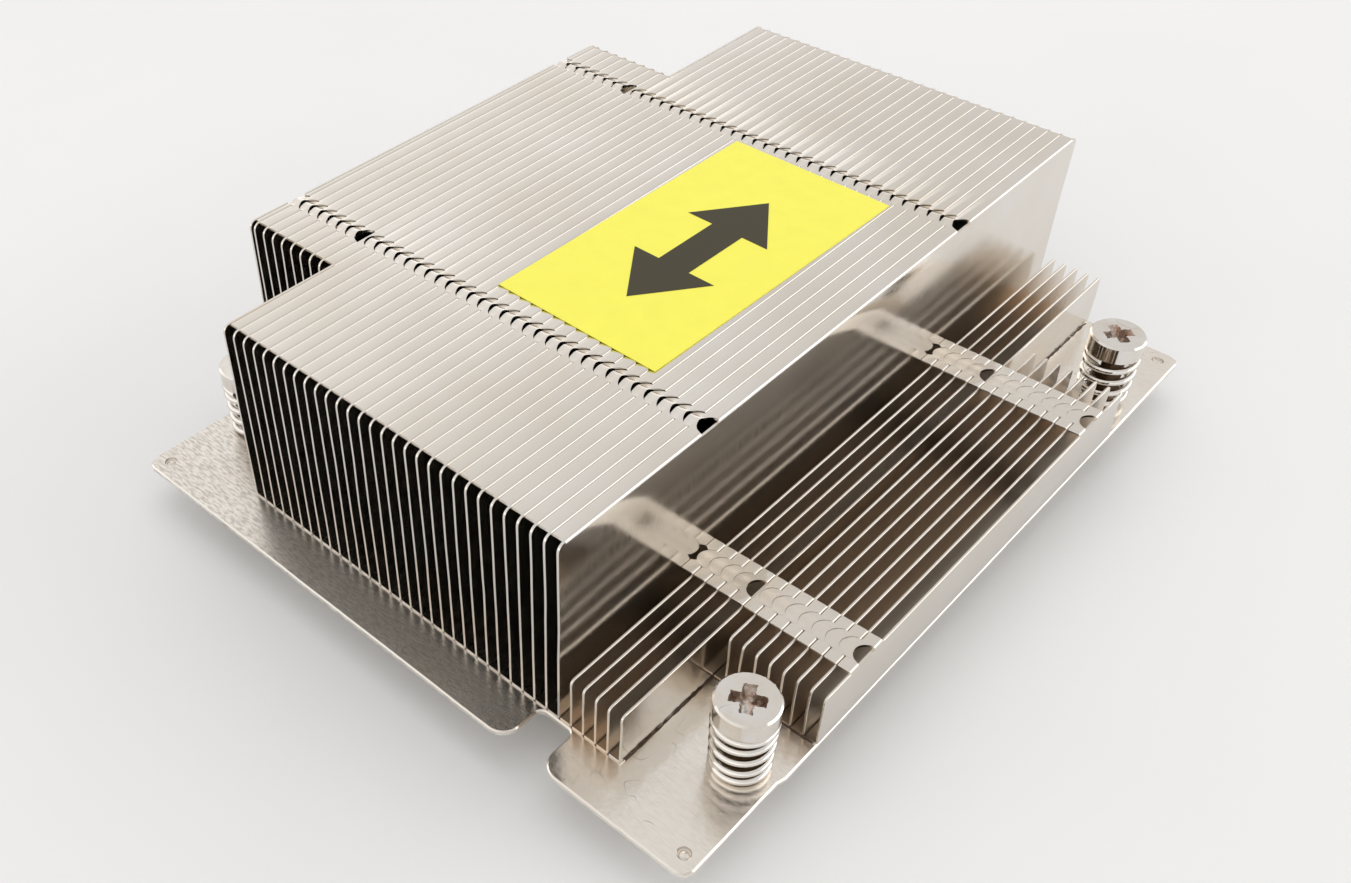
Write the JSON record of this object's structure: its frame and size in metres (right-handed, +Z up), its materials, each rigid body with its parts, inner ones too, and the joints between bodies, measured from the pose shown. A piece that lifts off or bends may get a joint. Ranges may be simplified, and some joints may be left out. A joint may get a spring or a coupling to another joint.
{
  "type": "passive server cpu heatsink",
  "caption": "Low passive heatsink for a rack server's processor: stamped zipper-lock fins in tall and low packs on a thin plate, with captive spring screws at the corners.",
  "frame": {"origin": "centre of the screw pattern on the face of the contact block that touches the processor", "axes": "+X across the fins towards the low pack, +Y along the fins and the airflow from the notched edge to the flush edge, +Z up from the processor to the fins' tops"},
  "size_m": [0.0896, 0.1094, 0.0329],
  "materials": {
    "nickel_plated_fin": "satin nickel plate",
    "nickel_plated_plate": "satin nickel plate over copper",
    "nickel_plated_block": "ground nickel plate over copper",
    "yellow_label": "matte film",
    "dark_ink": "matte print",
    "spring_steel": "bright drawn wire",
    "screw_steel": "nickel-plated turned steel",
    "ring_steel": "stamped spring steel"
  },
  "bodies": {
    "heatsink": {"base_plate": "nickel_plated_plate", "contact_block": "nickel_plated_block", "main_fins_01": "nickel_plated_fin", "main_fins_02": "nickel_plated_fin", "main_fins_03": "nickel_plated_fin", "main_fins_04": "nickel_plated_fin", "main_fins_05": "nickel_plated_fin", "main_fins_06": "nickel_plated_fin", "main_fins_07": "nickel_plated_fin", "main_fins_08": "nickel_plated_fin", "main_fins_09": "nickel_plated_fin", "main_fins_10": "nickel_plated_fin", "main_fins_11": "nickel_plated_fin", "main_fins_12": "nickel_plated_fin", "main_fins_13": "nickel_plated_fin", "main_fins_14": "nickel_plated_fin", "main_fins_15": "nickel_plated_fin", "left_fin_1": "nickel_plated_fin", "left_fin_2": "nickel_plated_fin", "left_fin_3": "nickel_plated_fin", "left_fin_4": "nickel_plated_fin", "left_fin_5": "nickel_plated_fin", "left_fin_6": "nickel_plated_fin", "left_fin_7": "nickel_plated_fin", "left_fin_8": "nickel_plated_fin", "left_end_sheet": "nickel_plated_fin", "low_long_fin_1": "nickel_plated_fin", "low_long_fin_2": "nickel_plated_fin", "low_long_fin_3": "nickel_plated_fin", "low_long_fin_4": "nickel_plated_fin", "low_long_fin_5": "nickel_plated_fin", "low_short_fin_1": "nickel_plated_fin", "low_short_fin_2": "nickel_plated_fin", "low_short_fin_3": "nickel_plated_fin", "low_short_fin_4": "nickel_plated_fin", "low_short_fin_5": "nickel_plated_fin", "low_short_fin_6": "nickel_plated_fin", "low_short_fin_7": "nickel_plated_fin", "low_short_fin_8": "nickel_plated_fin", "spring_1": "spring_steel", "spring_2": "spring_steel", "spring_3": "spring_steel", "spring_4": "spring_steel", "airflow_label": "yellow_label", "airflow_arrow": "dark_ink"},
    "ring_1": {"retaining_ring_1": "ring_steel"},
    "screw_1": {"screw_1": "screw_steel"},
    "ring_2": {"retaining_ring_2": "ring_steel"},
    "screw_2": {"screw_2": "screw_steel"},
    "ring_3": {"retaining_ring_3": "ring_steel"},
    "screw_3": {"screw_3": "screw_steel"},
    "ring_4": {"retaining_ring_4": "ring_steel"},
    "screw_4": {"screw_4": "screw_steel"}
  },
  "joints": [
    {"name": "screw_1_press", "type": "slide", "parent": "heatsink", "child": "ring_1", "axis": [0, 0, -1], "range_m": [0, 0.003], "stiffness_N_per_m": 4000, "springref_m": -0.0015, "deforming": ["spring_1"]},
    {"name": "screw_1_turn", "type": "hinge", "parent": "ring_1", "child": "screw_1", "pos_m": [-0.04, -0.04, 0], "axis": [0, 0, 1], "continuous": true},
    {"name": "screw_2_press", "type": "slide", "parent": "heatsink", "child": "ring_2", "axis": [0, 0, -1], "range_m": [0, 0.003], "stiffness_N_per_m": 4000, "springref_m": -0.0015, "deforming": ["spring_2"]},
    {"name": "screw_2_turn", "type": "hinge", "parent": "ring_2", "child": "screw_2", "pos_m": [0.04, -0.04, 0], "axis": [0, 0, 1], "continuous": true},
    {"name": "screw_3_press", "type": "slide", "parent": "heatsink", "child": "ring_3", "axis": [0, 0, -1], "range_m": [0, 0.003], "stiffness_N_per_m": 4000, "springref_m": -0.0015, "deforming": ["spring_3"]},
    {"name": "screw_3_turn", "type": "hinge", "parent": "ring_3", "child": "screw_3", "pos_m": [-0.04, 0.04, 0], "axis": [0, 0, 1], "continuous": true},
    {"name": "screw_4_press", "type": "slide", "parent": "heatsink", "child": "ring_4", "axis": [0, 0, -1], "range_m": [0, 0.003], "stiffness_N_per_m": 4000, "springref_m": -0.0015, "deforming": ["spring_4"]},
    {"name": "screw_4_turn", "type": "hinge", "parent": "ring_4", "child": "screw_4", "pos_m": [0.04, 0.04, 0], "axis": [0, 0, 1], "continuous": true}
  ]
}
